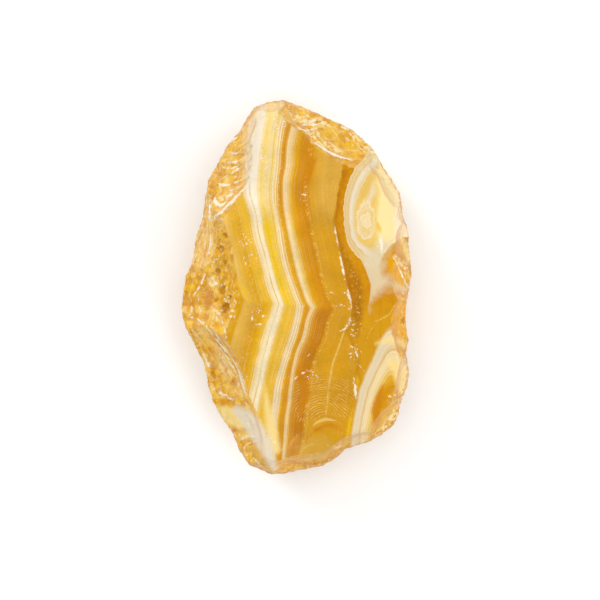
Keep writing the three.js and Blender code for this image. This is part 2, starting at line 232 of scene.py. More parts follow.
DEEP_PATCHES = [
    [(1.7, 21.5), (3.3, 21.2), (2.7, 19.0), (2.0, 16.8), (1.3, 16.8)],
]
HONEY_PATCHES = [
    [(15.6, 5.6), (15.0, 4.4), (15.0, 3.2), (15.8, 1.6), (17.2, 0.2), (18.4, -0.2), (17.0, 3.0)],
    [(17.4, 7.6), (16.2, 6.2), (17.4, 5.3), (17.8, 6.6)],
    [(15.4, -5.2), (16.6, -2.7), (18.8, -2.0), (19.0, -8.6), (17.2, -8.0), (15.8, -6.4)],
]
DEEP_PATHS = [
    ([(14.2, -16.5), (13.4, -18.5), (13.0, -20.5), (13.2, -22.4)], (0.3, 0.6, 0.8, 0.5)),
    ([(2.3, -24.5), (3.6, -23.4), (5.2, -22.8), (6.6, -23.2), (8.0, -24.1)], (0.0, 0.3, 0.3, 0.25, 0.0)),
    ([(0.5, -14.2), (1.5, -17.5), (0.5, -20.5)], (0.5, 0.9, 0.5)),
    ([(-14.8, -3.0), (-14.6, -1.2), (-15.4, 0.0)], (0.8, 0.9, 0.3)),
    ([(-11.3, -3.2), (-11.5, -3.6)], (0.5, 0.5)),
    # the last four paths run along the rim: a thin darker outline, painted shade of its steep edge
    ([(13.6, 21.6), (15.4, 18.8), (17.2, 15.2), (17.8, 12.0), (18.4, 9.6)], (0.1, 0.3, 0.2, 0.3, 0.1)),
    ([(18.5, -11.5), (18.4, -15.5), (17.3, -19.5), (16.2, -22.6), (13.0, -25.2)], (0.0, 0.1, 0.3, 0.4, 0.1)),
    ([(-1.2, -28.8), (1.4, -29.7), (4.4, -29.4), (7.2, -27.8)], (0.3, 0.4, 0.4, 0.3)),
    ([(-5.0, 30.6), (-7.4, 29.4), (-9.2, 26.4), (-12.0, 23.0)], (-0.2, 0.0, 0.1, 0.1)),
]
BROWN_PATHS = [
    ([(7.3, 7.0), (8.4, 4.4), (9.7, 1.4), (10.3, -1.8), (10.1, -4.8), (9.6, -8.0)],
     (0.1, 0.4, 0.7, 0.8, 0.8, 0.3)),
    ([(-1.4, -28.1), (-1.2, -28.2)], (0.25, 0.25)),
    ([(18.5, -8.3), (18.7, -9.3)], (0.3, 0.3)),
    ([(-9.2, -27.4), (-8.0, -29.2)], (0.2, 0.35)),
]
GOLD_PATHS = [
    ([(-9.7, 1.3), (-8.8, -0.5), (-7.8, -2.7)], (0.22, 0.35, 0.12)),
    ([(12.0, 13.0), (12.5, 12.2), (12.4, 11.0)], (-0.1, 0.15, -0.1)),
    ([(13.0, 11.2), (13.4, 10.2), (13.8, 9.2)], (0.05, 0.3, 0.2)),
    ([(9.3, -20.0), (8.6, -23.0), (8.1, -26.0)], (0.0, 0.3, 0.2)),
    ([(9.9, -14.0), (10.0, -16.0), (9.9, -17.5)], (0.05, 0.25, 0.05)),
]
FROST_PATCHES = [
    [(16.2, 5.2), (18.0, 4.2), (19.0, 3.2), (18.2, 1.8)],
    [(14.7, 18.0), (17.2, 16.2), (17.6, 14.0), (15.9, 16.0)],
    [(-0.1, 26.5), (4.4, 22.7), (9.7, 20.9), (8.2, 22.2), (5.4, 24.2), (3.5, 26.0), (2.5, 26.7)],
    [(-15.2, 1.6), (-13.0, 1.9), (-12.4, -0.4), (-13.4, -0.6), (-15.0, 0.6)],
    [(-14.4, -3.2), (-13.0, -3.0), (-12.4, -5.6), (-13.4, -5.8)],
    [(-14.4, 4.6), (-13.4, 5.0), (-13.6, 3.0), (-14.8, 3.2)],
]
FROST_PATHS = [
    ([(8.4, 26.6), (10.8, 24.3), (13.2, 21.7)], (0.4, 0.5, 0.8)),
    ([(18.0, -11.3), (18.2, -14.7), (17.7, -18.0), (16.5, -21.3), (14.7, -23.8), (12.2, -25.2)],
     (0.2, 0.3, 0.4, 0.9, 0.9, 0.2)),
    ([(-0.8, 28.2), (2.2, 27.9), (5.2, 27.2)], (0.7, 1.0, 0.6)),
    ([(-1.2, -28.5), (3.0, -30.0), (7.5, -27.2)], (0.1, 0.1, 0.1)),
    ([(14.4, 19.0), (16.4, 16.0), (17.4, 11.4)], (0.4, 0.6, 0.4)),
    ([(5.9, -26.3), (6.6, -26.7), (7.4, -25.9)], (0.2, 0.5, 0.2)),
    ([(-11.2, 24.0), (-9.9, 25.0)], (0.2, 0.2)),
    ([(-13.6, 13.8), (-12.0, 14.8), (-10.2, 15.8)], (0.6, 0.7, 0.4)),
]
# Sharp white crests of the breaks: each an arc through three places, then its half width
CRESTS = [
    # the scar at the upper left
    (-11.5, 22.7, -10.5, 22.2, -9.2, 22.6, 0.12), (-11.9, 21.2, -11.0, 20.6, -9.0, 21.2, 0.16),
    (-12.8, 20.1, -10.7, 19.7, -8.6, 21.0, 0.12), (-12.8, 17.9, -10.7, 18.9, -8.6, 20.3, 0.12),
    (-13.6, 17.7, -12.3, 16.9, -10.7, 17.2, 0.22), (-10.7, 17.2, -9.4, 17.6, -8.3, 18.3, 0.1),
    (-11.7, 16.2, -10.2, 16.2, -8.6, 17.2, 0.1), (-13.8, 15.3, -13.0, 13.6, -11.7, 14.1, 0.28),
    (-12.1, 15.1, -11.1, 15.1, -10.2, 15.8, 0.12), (-14.0, 11.0, -11.1, 13.7, -8.2, 16.8, 0.22),
    (-14.0, 11.6, -12.8, 12.2, -11.5, 13.0, 0.14), (-11.1, 24.0, -10.5, 24.6, -9.8, 25.0, 0.14),
    (-7.9, 20.8, -7.2, 19.4, -6.3, 18.2, 0.14), (-8.3, 19.3, -7.8, 18.4, -6.9, 17.6, 0.12),
    # the left side
    (-14.4, 9.9, -14.5, 12.2, -14.1, 14.7, 0.16), (-15.7, 9.9, -15.4, 7.8, -15.3, 6.2, 0.08),
    (-14.4, 9.9, -14.3, 7.6, -14.8, 4.9, 0.12), (-15.0, 2.8, -15.9, 0.5, -17.3, -1.5, 0.14),
    (-17.7, -1.8, -17.4, -3.0, -18.0, -5.1, 0.1), (-16.5, -0.9, -16.2, -3.0, -15.7, -5.5, 0.09),
    (-18.0, -5.1, -16.1, -5.6, -13.8, -8.0, 0.12), (-14.4, -6.1, -13.4, -7.6, -12.3, -9.5, 0.09),
    (-13.6, -3.2, -12.6, -4.7, -11.6, -8.8, 0.09), (-14.4, 1.8, -13.7, 1.0, -13.0, -0.1, 0.16),
    # the leaf below them
    (-13.8, -8.0, -12.4, -9.8, -10.7, -12.0, 0.12), (-10.7, -12.0, -9.3, -14.6, -8.3, -19.0, 0.14),
    (-13.8, -9.2, -11.6, -11.5, -9.5, -15.6, 0.13), (-14.6, -9.0, -12.6, -11.8, -10.6, -15.4, 0.08),
    (-16.4, -10.9, -15.4, -11.7, -14.3, -14.2, 0.16), (-15.9, -12.4, -15.3, -13.8, -15.0, -15.6, 0.16),
    (-14.4, -16.6, -12.4, -17.8, -9.5, -19.4, 0.11),
    # the foot
    (-9.7, -26.1, -8.8, -25.1, -6.6, -24.9, 0.09), (-8.8, -26.8, -7.8, -25.9, -5.9, -25.6, 0.08),
    (-8.3, -27.8, -6.9, -28.7, -5.7, -30.1, 0.08), (-9.4, -21.2, -8.4, -22.2, -7.6, -23.6, 0.07),
    (-8.6, -20.8, -7.6, -21.8, -6.8, -23.2, 0.07),
    # the top
    (0.1, 27.2, 2.0, 26.8, 4.4, 27.4, 0.12), (0.4, 28.2, 1.8, 27.6, 3.7, 27.7, 0.12),
    (-0.1, 26.5, 1.8, 25.9, 4.2, 27.0, 0.1), (1.8, 24.9, 5.4, 22.2, 9.7, 20.9, 0.17),
    (6.3, 27.2, 8.2, 26.3, 10.1, 23.7, 0.1), (10.1, 23.7, 11.0, 22.6, 11.6, 22.0, 0.12),
    (7.2, 25.6, 8.6, 24.4, 9.4, 23.0, 0.07),
    # the eye and its flank
    (13.6, 9.4, 13.9, 7.4, 14.0, 5.0, 0.25), (15.7, 5.5, 17.0, 2.8, 18.5, -0.2, 0.12),
    (15.7, 5.5, 16.8, 4.8, 18.0, 4.1, 0.09), (16.6, 4.2, 17.4, 3.6, 18.6, 3.2, 0.06),
    (17.3, 2.6, 18.0, 2.2, 19.0, 1.8, 0.06),
    # the broken lip
    (6.1, 10.6, 6.4, 8.6, 6.9, 6.2, 0.09), (6.9, 6.2, 7.5, 3.2, 8.1, 0.3, 0.11),
    (8.1, 0.3, 8.7, -1.9, 9.0, -3.6, 0.14), (7.0, -7.4, 8.3, -6.4, 8.9, -4.7, 0.15),
    (8.3, -6.9, 9.1, -8.0, 10.2, -8.3, 0.12), (8.8, -9.7, 9.7, -10.8, 9.9, -12.4, 0.16),
    (9.3, -14.7, 9.6, -16.9, 9.8, -18.8, 0.2), (9.9, -12.7, 10.6, -13.3, 11.3, -14.1, 0.07),
    (6.3, -3.3, 7.4, -3.0, 8.8, -3.8, 0.09), (7.3, -0.8, 8.3, -1.2, 8.8, -1.9, 0.12),
    (4.0, -1.0, 5.4, -0.9, 7.0, -1.6, 0.06), (1.3, -11.6, 1.7, -11.4, 2.1, -11.0, 0.07),
    (1.6, -13.6, 2.8, -14.2, 3.6, -15.2, 0.07), (-0.4, -15.2, 1.0, -14.2, 2.4, -13.6, 0.05),
]
ARC_PLACES = 6  # corners along each arc
# Thin pale veins: one runs down from the lip, the others are below the eye
VEINS = [
    ([(7.8, -7.2), (7.0, -9.7), (5.9, -12.7), (5.3, -16.0), (5.0, -19.3), (4.7, -21.6)],
     (0.1, 0.12, 0.14, 0.12, 0.1, 0.06)),
    ([(12.2, -5.8), (13.6, -5.5), (15.3, -4.6), (16.4, -2.6)], (0.0, 0.08, 0.08, 0.04)),
    ([(11.0, -10.6), (12.0, -7.4), (13.4, -5.6)], (-0.02, 0.04, 0.02)),
    ([(13.4, 3.6), (13.0, 1.6), (12.9, -0.6), (12.3, -3.0)], (0.02, 0.1, 0.1, 0.0)),
    ([(2.2, -23.5), (3.3, -22.4), (4.7, -21.9), (6.3, -22.1), (7.5, -22.9)], (-0.05, 0.2, 0.28, 0.12, -0.05)),
]

# What the material reads: the marks, and some of the breaks' own fields
MARKS = {
    "pale": (PALE_PATHS,), "flank": ([], FLANK_PATCHES), "tan": ([], TAN_PATCHES),
    "butter": (BUTTER_PATHS,), "deep": (DEEP_PATHS, DEEP_PATCHES), "brown": (BROWN_PATHS,),
    "gold": (GOLD_PATHS,), "honey": ([], HONEY_PATCHES), "frost_mark": (FROST_PATHS, FROST_PATCHES),
    "vein": (VEINS,),
}
KEPT_FIELDS = ("blow", "spread", "phase", "ripple", "ridge", "rim", "hollow", "crest_mark", "crest", "bend")

# Soft round spots: places and radiuses. The sparkles are where glints are painted in as white highlights.
SPARKLES = [
    ((-3.2, 27.0), 2.0), ((-5.4, 20.4), 1.6), ((-13.2, 14.2), 1.2), ((-8.7, 7.8), 1.8),
    ((-7.8, 4.2), 1.6), ((-6.5, -5.2), 1.8), ((1.2, 15.0), 1.2), ((9.7, -10.8), 1.6),
    ((15.9, -18.6), 1.2), ((2.5, -14.8), 1.4), ((13.8, 7.0), 0.9), ((9.6, -6.5), 1.6),
    ((-9.2, -15.4), 1.4), ((-3.6, -25.6), 1.2),
]
BEADS = [
    ((-12.5, 1.4), 0.2), ((-12.0, 0.5), 0.24), ((-11.6, -0.3), 0.16), ((-11.3, -1.7), 0.28),
    ((-11.7, -2.3), 0.25), ((-12.4, -3.0), 0.2), ((-12.4, -4.0), 0.22), ((-10.6, -4.0), 0.3),
    ((-10.9, -4.9), 0.32), ((-10.1, -2.7), 0.18), ((-9.9, -3.3), 0.16), ((-12.9, 5.0), 0.2),
]
HOLLOW_PATCH = [
    (-14.0, 11.0), (-12.6, 11.2), (-11.6, 8.2), (-10.9, 4.6), (-9.8, 0.6), (-9.4, -2.8), (-10.2, -5.6),
    (-11.8, -5.8), (-13.0, -2.2), (-13.4, 2.2), (-14.0, 5.2),
]


def srgb(red, green, blue):
    """The surface colour that shows these screen levels, from 0 to 255, in this scene's light."""
    levels = []
    for level in (red, green, blue):
        share = level / 255
        linear = share / 12.92 if share <= 0.04045 else ((share + 0.055) / 1.055) ** 2.4
        levels.append(min(max(linear * EXPOSURE_ROOM - GLOSS_VEIL, 0), 1))
    return (*levels, 1.0)


# Fields over the skin's points

def face_height(x, y):
    """Height of the banded face before the flakes came off its edges."""
    ends = FACE_ROLL * (y - 1) ** 2
    right = FACE_LEAN * np.maximum(0, x - 2) ** 2
    left = FACE_LEAN * np.minimum(0, x + 6) ** 2
    return CROWN_HEIGHT - 0.3 - ends - right - left


def lip_height(x, y):
    """Height of the face where it has broken away to the right of the lip."""
    away = right_of(np.stack([x, y], axis=1), TAN_EDGE)
    levels, drops = np.array(LIP_DROPS).T
    drop = np.interp(y, levels, drops) * np.exp(-np.maximum(away, 0) / LIP_REACH)
    return face_height(x, y) - np.where(away > 0, drop, 0)


def smooth_step(value, low, high):
    share = np.clip((value - low) / (high - low), 0, 1)
    return share * share * (3 - 2 * share)


def lumps(points, size, shift=0.0):
    """Smooth noise between about -1 and 1, with lumps of this size in mm."""
    moved = points / size + np.array([shift, 0.7 * shift, 1.3 * shift])
    return np.array([noise.noise(Vector(p)) for p in moved])


def layered_lumps(points, size, shift=0.0):
    """Three layers of noise, each half as large and half as strong as the one before."""
    total = lumps(points, size, shift)
    total += 0.5 * lumps(points, size / 2, shift + 11)
    return total + 0.25 * lumps(points, size / 4, shift + 23)


def cells(points, size, shift=0.0):
    """Distances to the nearest and the next cell middle, in cell sizes."""
    moved = points / size + shift
    found = [noise.voronoi(Vector(p))[0][:2] for p in moved]
    return np.array(found).T


def path_field(points, path):
    """Distance from each point to a path, and how far along the path that is, as a share."""
    spots = points[:, :2]
    corners = np.array(path, float)
    steps = np.linalg.norm(np.diff(corners, axis=0), axis=1)
    starts = np.concatenate([[0], np.cumsum(steps)])
    nearest = np.full(len(spots), np.inf)
    along = np.zeros(len(spots))
    for start, corner, following, step in zip(starts, corners[:-1], corners[1:], steps):
        heading = (following - corner) / step
        run = np.clip((spots - corner) @ heading, 0, step)
        distance = np.linalg.norm(spots - corner - run[:, None] * heading, axis=1)
        closer = distance < nearest
        nearest = np.where(closer, distance, nearest)
        along = np.where(closer, (start + run) / starts[-1], along)
    return nearest, along


def inside(points, corners):
    """Whether each point is inside the closed outline."""
    x, y = points[:, 0], points[:, 1]
    crossed = np.zeros(len(points), bool)
    for (ax, ay), (bx, by) in zip(corners, corners[1:] + corners[:1]):
        spans = (ay > y) != (by > y)
        rise = by - ay if by != ay else 1e-9
        crossed ^= spans & (x < ax + (y - ay) * (bx - ax) / rise)
    return crossed


def path_depth(points, path, half_widths):
    """How far inside a path's painted width each point is, negative outside it."""
    distance, along = path_field(points, path)
    return np.interp(along, np.linspace(0, 1, len(half_widths)), half_widths) - distance


def patch_depth(points, corners):
    """How far inside a patch each point is, negative outside it."""
    distance, _ = path_field(points, corners + corners[:1])
    return np.where(inside(points, corners), distance, -distance)


def marks(points, paths=(), patches=()):
    """The deepest of several marks. Marks are on the upper side alone, so they end below the rim."""
    depths = [path_depth(points, path, widths) for path, widths in paths]
    depths += [patch_depth(points, corners) for corners in patches]
    below_rim = np.maximum(0, RIM_HEIGHT - 1 - points[:, 2])
    return np.clip(np.max(depths, axis=0) - below_rim, -2, 2)


def arc_points(start, middle, end):
    """Places along the smooth curve through three places."""
    share = np.linspace(0, 1, ARC_PLACES)[:, None]
    first = start * (1 - share) * (1 - 2 * share)
    last = end * share * (2 * share - 1)
    return first + middle * 4 * share * (1 - share) + last


def crest_marks(points):
    """How far inside the nearest white crest each point is. Crests run out at their ends."""
    paths = []
    for *places, width in CRESTS:
        widths = (0.02, 1.3 * width, 1.3 * width, 0.02)
        paths.append((arc_points(*np.reshape(places, (3, 2))), widths))
    return marks(points, paths)


def border_depth(points, border, closing):
    """Distance inward from an open border, negative outside it. The closing tells which side is in."""
    distance, _ = path_field(points, border)
    return np.where(inside(points, border + closing), distance, -distance)


def away_from(points, place):
    return np.hypot(points[:, 0] - place[0], points[:, 1] - place[1])


def spots(points, places):
    """Soft round spots: 1 in the middle of the nearest one, 0 outside."""
    strongest = np.zeros(len(points))
    for place, radius in places:
        away = away_from(points, place)
        strongest = np.maximum(strongest, 1 - smooth_step(away, 0.3 * radius, 1.3 * radius))
    return strongest * smooth_step(points[:, 2], RIM_HEIGHT - 2, RIM_HEIGHT)


def flake_fields(points, shape, side):
    """Height over a flake's bowl, distance from where the blow fell, and the angle round it."""
    high, low = np.array(shape["high"]), np.array(shape["low"], float)
    middle = (high + low) / 2
    length = np.linalg.norm(high - low)
    down = (low - high) / length
    out = np.array([0, 0, side]) - side * down[2] * down
    out /= np.linalg.norm(out)
    lean = shape["lean"]
    out = out * math.cos(lean) + np.cross(down, out) * math.sin(lean)
    cross = np.cross(down, out)
    lengthwise = length**2 / (8 * shape["dip"])
    start = np.array(shape["struck"], float) - middle
    local = points - middle
    along, aside, height = local @ down, local @ cross, local @ out
    bowl = along**2 / (2 * lengthwise) + aside**2 / (2 * shape["hollow"]) - shape["dip"]
    run, drift = along - start @ down, aside - start @ cross
    distance = np.hypot(run, drift)
    height = np.where(distance < shape["reach"], height - bowl, OUT_OF_REACH)
    return height, distance, np.arctan2(drift, -run)


def break_fields(points):
    """For each point, the flake whose break it lies on, with that break's look and its ripple distances."""
    found = [flake_fields(points, shape, 1) for shape in FLAKES]
    found += [flake_fields(points, shape, -1) for shape in UNDER_FLAKES]
    bowls, blows, angles = np.array(found).transpose(1, 0, 2)
    face = points[:, 2] - lip_height(points[:, 0], points[:, 1])
    heights = np.vstack([bowls, face + 0.08])
    order = np.sort(heights, axis=0)
    owner = np.argmax(heights, axis=0)
    picked = (np.minimum(owner, len(found) - 1), np.arange(len(points)))
    looks = np.array([shape["look"] for shape in FLAKES + UNDER_FLAKES] + [(0.0,) * len(LOOK_PARTS)])
    fields = dict(zip(LOOK_PARTS, looks[owner].T))
    fields["face"] = np.where(owner == len(found), 1.0, 0.0)
    fields |= {"blow": blows[picked], "spread": angles[picked]}
    warped = fields["blow"] + 0.5 * lumps(points, 4.0, 5.0) + 0.16 * lumps(points, 1.1, 2.0)
    fields["phase"] = warped / np.maximum(fields["wave"], 0.5) - 0.5
    fields["blank"] = smooth_step(-order[-1], 0.35, 0.7)
    fields["ridge"] = np.exp(-(order[-1] - order[-2]) / 0.16) * (1 - fields["blank"])
    fields["ridge"] *= smooth_step(fields["frost"], 0, 0.25)
    return fields


def through(spots, guide):
    """The place on the smooth curve through a guide's points, at these heights."""
    heights, places = np.array(sorted(guide)).T
    slopes = np.gradient(places, heights)
    spots = np.clip(spots, heights[0], heights[-1])
    index = np.clip(np.searchsorted(heights, spots) - 1, 0, len(heights) - 2)
    gap = np.diff(heights)[index]
    share = (spots - heights[index]) / gap
    rest = 1 - share
    from_below = rest**2 * ((1 + 2 * share) * places[index] + share * gap * slopes[index])
    from_above = share**2 * ((1 + 2 * rest) * places[index + 1] - rest * gap * slopes[index + 1])
    return from_below + from_above


def guide_place(above, guide):
    """A guide's x at these heights. It is smooth apart from the bend."""
    upper = [point for point in guide if point[0] >= 0]
    lower = [point for point in guide if point[0] <= 0]
    return np.where(above > 0, through(above, upper), through(above, lower))


def band_fields(points):
    """The band coordinate, and the height over the line on which the bands bend."""
    x, y, z = points.T
    depth = np.maximum(0, face_height(x, y) - z)
    shifted = x + BAND_LEAN * depth
    above = y - BEND_AT - BEND_SLOPE * x
    left, pair, right = [guide_place(above, guide) for guide in (LEFT_GUIDE, PAIR_GUIDE, RIGHT_GUIDE)]
    band = np.where(shifted < left, shifted - left, PAIR_PLACE * (shifted - left) / (pair - left))
    past_pair = PAIR_PLACE + (RIGHT_PLACE - PAIR_PLACE) * (shifted - pair) / (right - pair)
    band = np.where(shifted > pair, past_pair, band)
    past_right = np.maximum(0, shifted - right)
    narrowed = RIGHT_NARROWS * smooth_step(-above, 3, 12) * (1 - np.exp(-past_right / 0.3))
    band = np.where(shifted > right, RIGHT_PLACE + past_right + narrowed, band)
    return band, above, depth


def eye_fields(points, depth):
    """How far inside the eye's border each point is, how far from its core, and how far to the right."""
    inward = border_depth(points, EYE_BORDER, EYE_CLOSING) - EYE_LEAN * depth
    wider = 0.06 * np.maximum(0, points[:, 1] - 13) + 0.15 * np.maximum(0, 8 - points[:, 1])
    inward = inward / (1 + np.minimum(wider, 1))
    across = points[:, 0] - CORE_MIDDLE[0]
    core = np.hypot(across / CORE_ACROSS, (points[:, 1] - CORE_MIDDLE[1]) / CORE_UP)
    return inward, core, across


def fold_field(points, depth):
    """Distance inward from the border of the folded eye, negative outside it."""
    slope = 0.93  # of the left border, so that distances are square to it
    from_left = slope * right_of(points, FOLD_LEFT)
    from_left /= 1 + 0.3 * smooth_step(points[:, 1], -22, -11)
    places, heights = np.array(FOLD_TOP).T
    from_top = FOLD_STRETCH * (np.interp(points[:, 0], places, heights) - points[:, 1])
    both = np.exp(-from_left / FOLD_CORNER) + np.exp(-from_top / FOLD_CORNER)
    return -FOLD_CORNER * np.log(both) - EYE_LEAN * depth


def shell_fields(points):
    """The count of fine arcs from their middle, and how far inside their two patches each point is."""
    at_left = points[:, 0] < SHELL_VEIN
    away = np.where(at_left, away_from(points, SHELL_LEFT), away_from(points, SHELL_RIGHT))
    return away / SHELL_SPACING, marks(points, patches=SHELL_PATCHES)


def right_of(points, edge):
    """Distance to the right of an edge that runs down the stone."""
    places, heights = np.array(edge[::-1]).T
    return points[:, 0] - np.interp(points[:, 1], heights, places)


# The skin: a fine mesh over the CAD solid

def add_object(name, data):
    made = bpy.data.objects.new(name, data)
    bpy.context.scene.collection.objects.link(made)
    return made


def array_of(vertices, name):
    flat = np.empty(len(vertices) * 3)
    vertices.foreach_get(name, flat)
    return flat.reshape(-1, 3)


def fine_copy(node, name):
    """A new object with the solid's shape in small even faces."""
    rough = add_object(name + "_rough", node.data.copy())
    remesh = rough.modifiers.new("Remesh", "REMESH")
    remesh.mode = "VOXEL"
    remesh.voxel_size = SKIN_STEP * MM
    shaped = rough.evaluated_get(bpy.context.evaluated_depsgraph_get())
    mesh = bpy.data.meshes.new_from_object(shaped)
    bpy.data.objects.remove(rough)
    return add_object(name, mesh)


def settle_on(node, points):
    """The points moved to the nearest places on the solid."""
    corners = [vertex.co.copy() for vertex in node.data.vertices]
    faces = [tuple(face.vertices) for face in node.data.polygons]
    tree = BVHTree.FromPolygons(corners, faces)
    return np.array([tree.find_nearest(Vector(p))[0] for p in points])


def crest_height(fields, points):
    """Ripples round where a blow fell: smooth hollows between sharp crests."""
    hollow = np.abs(np.sin(math.pi * fields["phase"]))
    strength = 0.6 + 0.9 * lumps(points, 2.6, 9.0)
    return (0.6 - hollow) * np.clip(strength, 0.05, 1.3)


def line_height(fields):
    """Fine lines that run out from where a blow fell."""
    rays = np.stack([fields["spread"] * 9, fields["blow"] * 0.22, fields["blow"] * 0], axis=1)
    return lumps(rays, 0.7, 3.0) + 0.6 * lumps(rays, 0.33, 8.0)


def hollow_height(points, hollow):
    """Small crystals in the rough hollow at the left."""
    near, following = cells(points, 0.75, 2.0)
    crystals = 0.12 * smooth_step(following - near, 0, 0.5) - 0.12 * near
    return hollow * crystals


def bead_height(points):
    height = np.zeros(len(points))
    for place, radius in BEADS:
        away = away_from(points, place) / radius
        dome = np.sqrt(np.maximum(0, 1 - away**2)) * radius * 0.8
        height = np.maximum(height, np.where(points[:, 2] > RIM_HEIGHT, dome, 0))
    return height


def rim_chips(points, rim):
    """Small flat chips along the sharp edge that runs round the stone."""
    near, following = cells(points, 1.1, 7.0)
    return -RIM_CHIP_DEPTH * rim * smooth_step(near, 0.15, 0.75) + 0.05 * rim * (following - near)


def neighbour_mean(values, edges, count):
    """The mean of each point's neighbours."""
    total = np.zeros((len(count), values.shape[1]))
    for column in range(values.shape[1]):
        total[:, column] += np.bincount(edges[:, 0], values[edges[:, 1], column], len(count))
        total[:, column] += np.bincount(edges[:, 1], values[edges[:, 0], column], len(count))
    return total / count[:, None]


def curvature(mesh, points):
    """How sharply the skin bends outward, at a fine and at a broader scale."""
    edges = np.empty(len(mesh.edges) * 2, int)
    mesh.edges.foreach_get("vertices", edges)
    edges = edges.reshape(-1, 2)
    normals = array_of(mesh.vertices, "normal")
    count = np.bincount(edges.ravel(), minlength=len(points))
    offset = points - neighbour_mean(points, edges, count)
    bend = np.einsum("ij,ij->i", offset, normals)[:, None]
    fine = neighbour_mean(bend, edges, count)
    broad = fine
    for _ in range(4):
        broad = neighbour_mean(broad, edges, count)
    return fine[:, 0] / SKIN_STEP, broad[:, 0] / SKIN_STEP


def skin_height(points, fields):
    """How far the skin stands out from the solid, with all forms that are too fine for the solid."""
    rim, hollow = fields["rim"], fields["hollow"]
    height = fields["ripple"] * crest_height(fields, points)
    height += CREST_RISE * smooth_step(fields["crest_mark"] + 0.05 * lumps(points, 0.7, 17.0), -0.2, 0.12)
    height += fields["lines"] * line_height(fields)
    height += fields["grain"] * layered_lumps(points, 1.3, 4.0)
    height += UNEVENNESS * layered_lumps(points, 2.4, 14.0)
    height += hollow_height(points, hollow) + bead_height(points) + rim_chips(points, rim)
    chipped = smooth_step(lumps(points, 0.9, 31.0), 0.0, 0.5)
    height -= RIDGE_CHIP_DEPTH * fields["ridge"] * chipped
    return height * smooth_step(points[:, 2], SEAT_CLEARANCE, 4 * SEAT_CLEARANCE)


def painted_fields(points, normals, fields):
    """Everything that the material reads at each point, by name."""
    band, above, depth = band_fields(points)
    inward, core, across = eye_fields(points, depth)
    shell, shell_mark = shell_fields(points)
    painted = {name: marks(points, *lists) for name, lists in MARKS.items()}
    painted |= {name: fields[name] for name in KEPT_FIELDS}
    amber = np.maximum(fields["amber"], 0.7 * fields["blank"])
    return painted | {
        "band": band, "above": above, "inward": inward, "core": core, "across": across,
        "fold": fold_field(points, depth), "shell": shell, "shell_mark": shell_mark,
        "tan_edge": right_of(points, TAN_EDGE), "flank_edge": right_of(points, FLANK_EDGE),
        "sparkle": spots(points, SPARKLES), "bead": spots(points, BEADS),
        "level": np.abs(normals[:, 2]), "broken": 1 - fields["face"],
        "frost": np.maximum(fields["frost"], 0.25 * fields["blank"]),
        "amber": amber * (1 - smooth_step(inward, -0.3, 0.3)),
    }


def place_vertices(mesh, points):
    mesh.vertices.foreach_set("co", (points * MM).ravel())
    mesh.update()


def stone_skin(node):
    skin = fine_copy(node, "onyx_skin")
    mesh = skin.data
    points = settle_on(node, array_of(mesh.vertices, "co")) / MM
    place_vertices(mesh, points)
    mesh.shade_smooth()
    normals = array_of(mesh.vertices, "normal")

    fields = break_fields(points)
    to_rim, _ = path_field(points, OUTLINE + OUTLINE[:1])
    fields["rim"] = (1 - smooth_step(to_rim, 0.4, 2.2)) * smooth_step(normals[:, 2], -0.6, 0.1)
    fields["hollow"] = smooth_step(marks(points, patches=[HOLLOW_PATCH]), -0.3, 0.5)
    fields["crest_mark"] = crest_marks(points)

    shaped = points + normals * skin_height(points, fields)[:, None]
    shaped[:, 2] = np.maximum(shaped[:, 2], 0)
    place_vertices(mesh, shaped)
    fields["crest"], fields["bend"] = curvature(mesh, shaped)
    for name, values in painted_fields(points, normals, fields).items():
        layer = mesh.attributes.new(name, "FLOAT", "POINT")
        layer.data.foreach_set("value", np.asarray(values, np.float32))
    return skin


# Materials

class Level:
    """A level or colour that differs over the surface. Levels are added, taken away and multiplied."""

    def __init__(self, wiring, socket):
        self.wiring = wiring
        self.socket = socket

    def __add__(self, other):
        return self.wiring.compute("ADD", self, other)

    def __sub__(self, other):
        return self.wiring.compute("SUBTRACT", self, other)

    def __mul__(self, other):
        return self.wiring.compute("MULTIPLY", self, other)

    def scaled(self, share):
        return self.wiring.node("ShaderNodeVectorMath", {0: self, 3: share}, operation="SCALE")

    def step(self, low, high):
        """0 below low and 1 above high, smooth between them. It falls where low is the larger."""
        rising = low < high
        ends = {1: min(low, high), 2: max(low, high), 3: 0.0 if rising else 1.0, 4: 1.0 if rising else 0.0}
        return self.wiring.node("ShaderNodeMapRange", {0: self, **ends}, interpolation_type="SMOOTHSTEP")


